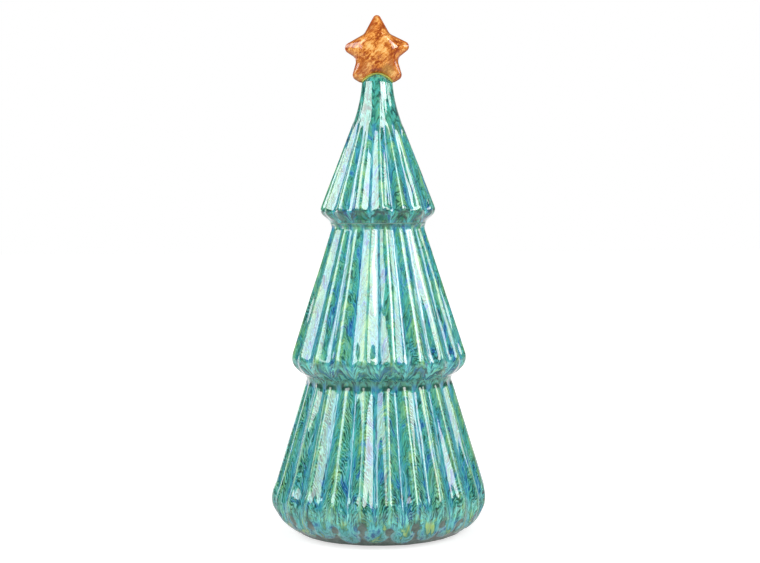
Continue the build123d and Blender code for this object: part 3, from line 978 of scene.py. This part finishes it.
def star_glaze():
    """Amber glaze, mottled gold and rust, darker where it thins at the edges."""
    made, tree, shader = new_material("amber star glaze")
    place = object_place(tree)
    x, y, z = parts(tree, place)
    brushed = x * 0.29 + z * 0.24
    over = x * -0.64 + z * 0.77
    mottle = cloud(tree, triple(tree, brushed, over, y), 640.0, 5, 0.66, 0.6)
    patch = cloud(tree, place, 120.0, 3, 0.55, 0.5)
    speckle = cloud(tree, place, 1500.0, 2, 0.6)
    tone = mottle * 0.46 + (patch * 0.38 + speckle * 0.16)
    coat = Coat(tree, colours_along(tree, tone.rise(0.415, 0.61), [
        (0.00, (0.28, 0.048, 0.008)),
        (0.25, (0.50, 0.135, 0.021)),
        (0.50, (0.68, 0.25, 0.047)),
        (0.75, (0.80, 0.37, 0.090)),
        (1.00, (0.86, 0.53, 0.19)),
    ]))
    stain = cloud(tree, place, 70.0, 2, 0.55).rise(0.56, 0.64)
    coat.lay(stain * 0.7, (0.36, 0.075, 0.014))
    thin_edge = from_mesh(tree, "inward").fall(0.1, 2.0)
    coat.lay(thin_edge * 0.85, (0.38, 0.075, 0.010))

    # Olive and brown pools on the lower points, and a green seam on the cap
    olive = (distance_from(tree, place, (0.0062, -0.0045, 0.2845)) + mottle * 0.003).fall(0.0035, 0.0065)
    coat.lay(olive * 0.4, (0.40, 0.27, 0.035))
    brown = (distance_from(tree, place, (-0.0105, -0.006, 0.2865)) + mottle * 0.005).fall(0.005, 0.0095)
    coat.lay(brown * 0.7, (0.38, 0.085, 0.014))
    above = from_mesh(tree, "above_cap") + mottle * 0.5
    coat.lay(above.fall(0.35, 1.0) * 0.8, (0.42, 0.45, 0.07))
    fill(tree, shader, {"Base Color": coat.colour, "Roughness": mottle.rise(-0.3, 4.0)})
    glossy_coat(tree, shader, 0.10, 1.55)
    bumped(tree, shader, peel_height(tree, 380.0), 0.0006, 0.12)
    return made


def fired_clay(name, dark, light, glassy):
    """Bare fired clay or slip: sandy grain, faint stains and small pits."""
    made, tree, shader = new_material(name)
    place = object_place(tree)
    grain = cloud(tree, place, 1400.0, 4, 0.7)
    stain = cloud(tree, place, 90.0, 3, 0.55)
    pits = cloud(tree, place, 900.0, 1, 0.5).fall(0.26, 0.33)
    coat = Coat(tree, colours_along(tree, grain * 0.45 + stain * 0.55, [(0.34, dark), (0.66, light)]))
    coat.lay(pits * 0.6, tuple(0.45 * c for c in dark))
    fill(tree, shader, {"Base Color": coat.colour, "Roughness": grain.rise(-1.2 + glassy, 1.4 + glassy)})
    bumped(tree, shader, grain + pits * -0.6, 0.0002, 0.5)
    return made


def felt_nap():
    """Pressed wool felt: short fibres lying every way."""
    made, tree, shader = new_material("green felt")
    place = object_place(tree)
    strands = []
    for turn in (0.3, 1.4, 2.5):
        inputs = {"Vector": place, "Rotation": (0, 0, turn), "Scale": (2600, 260, 900)}
        turned = add_node(tree, "ShaderNodeMapping", inputs).outputs[0]
        strands.append(cloud(tree, turned, 1.0, 2, 0.5, 0.8))
    fibres = maths(tree, "MAXIMUM", maths(tree, "MAXIMUM", strands[0], strands[1]), strands[2])
    blotch = cloud(tree, place, 120.0, 2, 0.5)
    colour = colours_along(tree, fibres * 0.75 + blotch * 0.25, [
        (0.42, (0.012, 0.035, 0.022)),
        (0.56, (0.03, 0.085, 0.05)),
        (0.70, (0.075, 0.16, 0.10)),
    ])
    fill(tree, shader, {
        "Base Color": colour,
        "Roughness": 0.95,
        "Sheen Weight": 0.35,
        "Sheen Roughness": 0.5,
    })
    bumped(tree, shader, fibres, 0.0004, 0.8)
    return made


def wear(piece, material):
    piece.data.materials.clear()
    piece.data.materials.append(material)


reactive_glaze = reactive_glaze_group()
orange_peel = orange_peel_group()
bottom_glaze = tree_glaze(
    "bottom tier glaze", 1.70, drips=True, Feather=1.0, Bloom=0.0, Batch=0.0, Shade=0.15, Runs=0.85
)
middle_glaze = tree_glaze(
    "middle tier glaze", 1.72, Feather=0.36, Bloom=0.0, Batch=3.0, Shade=0.65, Runs=0.60
)
top_glaze = tree_glaze(
    "top tier glaze", 1.82, Feather=0.30, Bloom=-0.7, Batch=7.0, Shade=1.0, Runs=0.12
)

pieces = (
    (build_bottom_tier(), "bottom_tier", "tree_glaze", bottom_glaze),
    (build_middle_tier(), "middle_tier", "tree_glaze", middle_glaze),
    (build_top_tier(), "top_tier", "tree_glaze", top_glaze),
    (build_star(), "star_topper", "star_glaze", star_glaze()),
    (build_felt(), "felt_base", "felt", felt_nap()),
)
for piece, node, finish, material in pieces:
    wear(piece, material)
    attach(piece, "root")
    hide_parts(node)

# The slip and the base disc keep their solids: node, clay, dark and light colour, and how glassy it is
clays = (
    ("base_slip", "fired slip", (0.30, 0.27, 0.21), (0.50, 0.46, 0.37), 0.0),
    ("upper_slip", "seam slip under glaze", (0.07, 0.20, 0.17), (0.30, 0.46, 0.41), -0.4),
    ("lower_slip", "seam slip under dark glaze", (0.012, 0.09, 0.08), (0.05, 0.22, 0.22), -0.6),
    ("star_slip", "glaze-stained slip", (0.20, 0.24, 0.04), (0.42, 0.46, 0.10), -0.4),
    ("base_disc", "bare stoneware", (0.36, 0.31, 0.25), (0.58, 0.52, 0.43), 0.3),
)
for node, *clay in clays:
    wear(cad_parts[node], fired_clay(*clay))


# Studio: a pale floor, a white backdrop and six oval soft lights that face the middle of the tree
TREE_MIDDLE = Vector((0, 0, 0.16))


def backdrop_share(tree):
    """Two shares: of what is seen directly or through glass, and of what is seen in a reflection."""
    path = tree.nodes.new("ShaderNodeLightPath").outputs
    seen = maths(tree, "MAXIMUM", path["Is Camera Ray"], path["Is Transmission Ray"])
    return seen, Measure(tree, path["Is Glossy Ray"])


def light_world():
    """White where it is seen and straight behind the tree, and otherwise dim, more so in a reflection."""
    world = bpy.data.worlds.new("studio")
    bpy.context.scene.world = world
    world.use_nodes = True
    tree = world.node_tree
    ground = next(n for n in tree.nodes if n.type == "BACKGROUND")
    seen, glossy = backdrop_share(tree)
    heading = add_node(tree, "ShaderNodeTexCoord").outputs["Generated"]
    behind = parts(tree, heading)[1].rise(0.88, 0.98)
    shown = maths(tree, "MAXIMUM", seen, glossy * behind)
    room = 0.25 - glossy * 0.16
    fill(tree, ground, {"Strength": room + shown * (1.0 - room), "Color": (1.0, 1.0, 1.0, 1.0)})


def lay_floor():
    """A pale floor that looks white from the camera, keeps the tree's shadow and is clear from below."""
    mesh = bpy.data.meshes.new("floor")
    mesh.from_pydata([(-6, -6, 0), (6, -6, 0), (6, 6, 0), (-6, 6, 0)], [], [(0, 1, 2, 3)])
    floor = bpy.data.objects.new("floor", mesh)
    bpy.context.scene.collection.objects.link(floor)
    made = bpy.data.materials.new("pale floor")
    made.use_nodes = True
    tree = made.node_tree
    tree.nodes.clear()
    seen, glossy = backdrop_share(tree)
    spot = object_place(tree)
    far = parts(tree, spot)[1].rise(0.05, 0.40)
    length = add_node(tree, "ShaderNodeVectorMath", {0: spot}, operation="LENGTH")
    apart = Measure(tree, length.outputs["Value"])
    near = apart.fall(0.12, 0.30) * 0.20
    shown = maths(tree, "MAXIMUM", seen, glossy * (near + far * 0.60))
    white = 0.68 + apart.rise(0.10, 0.9) * 0.32
    paper = add_node(tree, "ShaderNodeBsdfDiffuse", {"Color": (0.49, 0.49, 0.49, 1.0)})
    glow = add_node(tree, "ShaderNodeEmission", {"Strength": shown * white})
    both = add_node(tree, "ShaderNodeAddShader", {0: paper.outputs[0], 1: glow.outputs[0]})
    below = tree.nodes.new("ShaderNodeNewGeometry").outputs["Backfacing"]
    clear = tree.nodes.new("ShaderNodeBsdfTransparent")
    cover = add_node(tree, "ShaderNodeMixShader", {0: below, 1: both.outputs[0], 2: clear.outputs[0]})
    add_node(tree, "ShaderNodeOutputMaterial", {"Surface": cover.outputs[0]})
    mesh.materials.append(made)


def soft_light(name, azimuth, elevation, distance, width, height, brightness):
    """An oval soft light that faces the tree. Its azimuth is to the right of the camera."""
    lamp = bpy.data.lights.new(name, "AREA")
    lamp.shape = "ELLIPSE"
    lamp.size, lamp.size_y = width, height
    lamp.energy = math.pi * math.pi / 4 * width * height * brightness
    holder = bpy.data.objects.new(name, lamp)
    bpy.context.scene.collection.objects.link(holder)
    a, e = math.radians(azimuth), math.radians(elevation)
    back = Vector((math.sin(a) * math.cos(e), -math.cos(a) * math.cos(e), math.sin(e)))
    holder.location = TREE_MIDDLE + back * distance
    holder.rotation_euler = back.to_track_quat("Z", "Y").to_euler()
    holder.visible_camera = False


light_world()
lay_floor()
soft_light("right soft light", 36, 29, 1.3, 0.62, 1.00, 6.7)
soft_light("near right light", 53, 26, 0.62, 0.25, 0.15, 8.6)
soft_light("low right soft light", 87, 18, 1.3, 0.52, 0.52, 4.9)
soft_light("left soft light", -74, 30.5, 1.2, 1.38, 0.76, 5.1)
soft_light("front left soft light", -36, 17, 1.2, 0.42, 0.32, 4.0)
soft_light("back left soft light", -138, -1, 1.3, 0.50, 0.16, 2.2)

# Camera at the photograph's height and distance. Rows and lengths in the image are in pixels.
IMAGE_WIDTH = 760
FOCAL_LENGTH = 1500
MIDDLE_ROW = 281.5
HORIZON_ROW = 210
AXIS_LEFT_OF_MIDDLE = 2
SENSOR_WIDTH = 36
ROLL = 0.35
CAMERA_DISTANCE = 0.9255
CAMERA_HEIGHT = 0.1993

camera_data = bpy.data.cameras.new("camera")
camera_data.lens = FOCAL_LENGTH / IMAGE_WIDTH * SENSOR_WIDTH
camera_data.sensor_width = SENSOR_WIDTH
camera_data.sensor_fit = "HORIZONTAL"
camera = bpy.data.objects.new("camera", camera_data)
bpy.context.scene.collection.objects.link(camera)
camera.location = (0, -CAMERA_DISTANCE, CAMERA_HEIGHT)
pitch_down = math.atan((MIDDLE_ROW - HORIZON_ROW) / FOCAL_LENGTH)
turn_right = math.atan(AXIS_LEFT_OF_MIDDLE / FOCAL_LENGTH)
camera.rotation_euler = Euler((math.pi / 2 - pitch_down, math.radians(ROLL), -turn_right), "YXZ")
bpy.context.scene.camera = camera
bpy.context.scene.view_settings.view_transform = "Standard"
